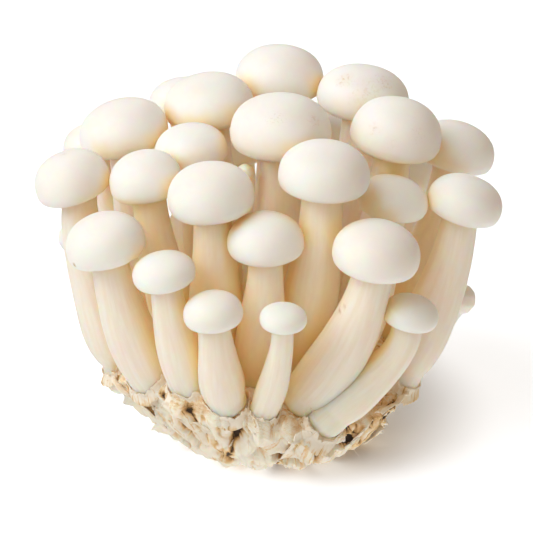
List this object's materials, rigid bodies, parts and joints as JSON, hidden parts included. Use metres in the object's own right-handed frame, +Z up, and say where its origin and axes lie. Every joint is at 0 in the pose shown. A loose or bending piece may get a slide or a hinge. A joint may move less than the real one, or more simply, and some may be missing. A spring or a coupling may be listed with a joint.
{
  "type": "beech mushroom cluster",
  "caption": "Cluster of white beech mushrooms with domed caps and thick curved stems, fanning out of one torn block of mycelium that it stands on.",
  "frame": {"origin": "middle of the flat face that the mycelium block stands on", "axes": "+Z up; -Y is the front, where the smallest caps and the longest torn face of the block are; +X to the right when it is seen from the front"},
  "size_m": [0.1067, 0.0999, 0.0869],
  "materials": {
    "cap_skin": "satin",
    "stem_flesh": "satin",
    "pin_flesh": "satin",
    "mycelium": "matte"
  },
  "bodies": {
    "root": {"mycelium_block": "mycelium", "cap_01": "cap_skin", "stem_01": "stem_flesh", "cap_02": "cap_skin", "stem_02": "stem_flesh", "cap_03": "cap_skin", "stem_03": "stem_flesh", "cap_04": "cap_skin", "stem_04": "stem_flesh", "cap_05": "cap_skin", "stem_05": "stem_flesh", "cap_06": "cap_skin", "stem_06": "stem_flesh", "cap_07": "cap_skin", "stem_07": "stem_flesh", "cap_08": "cap_skin", "stem_08": "stem_flesh", "cap_09": "cap_skin", "stem_09": "stem_flesh", "cap_10": "cap_skin", "stem_10": "stem_flesh", "cap_11": "cap_skin", "stem_11": "stem_flesh", "cap_12": "cap_skin", "stem_12": "stem_flesh", "cap_13": "cap_skin", "stem_13": "stem_flesh", "cap_14": "cap_skin", "stem_14": "stem_flesh", "cap_15": "cap_skin", "stem_15": "stem_flesh", "cap_16": "cap_skin", "stem_16": "stem_flesh", "cap_17": "cap_skin", "stem_17": "stem_flesh", "cap_18": "cap_skin", "stem_18": "stem_flesh", "cap_19": "cap_skin", "stem_19": "stem_flesh", "cap_20": "cap_skin", "stem_20": "stem_flesh", "cap_21": "cap_skin", "stem_21": "stem_flesh", "cap_22": "cap_skin", "stem_22": "stem_flesh", "cap_23": "cap_skin", "stem_23": "stem_flesh", "cap_24": "cap_skin", "stem_24": "stem_flesh", "cap_25": "cap_skin", "stem_25": "stem_flesh", "cap_26": "cap_skin", "stem_26": "stem_flesh", "cap_27": "cap_skin", "stem_27": "stem_flesh", "pin_01": "pin_flesh", "pin_02": "pin_flesh", "pin_03": "pin_flesh", "pin_04": "pin_flesh", "pin_05": "pin_flesh"}
  },
  "joints": []
}
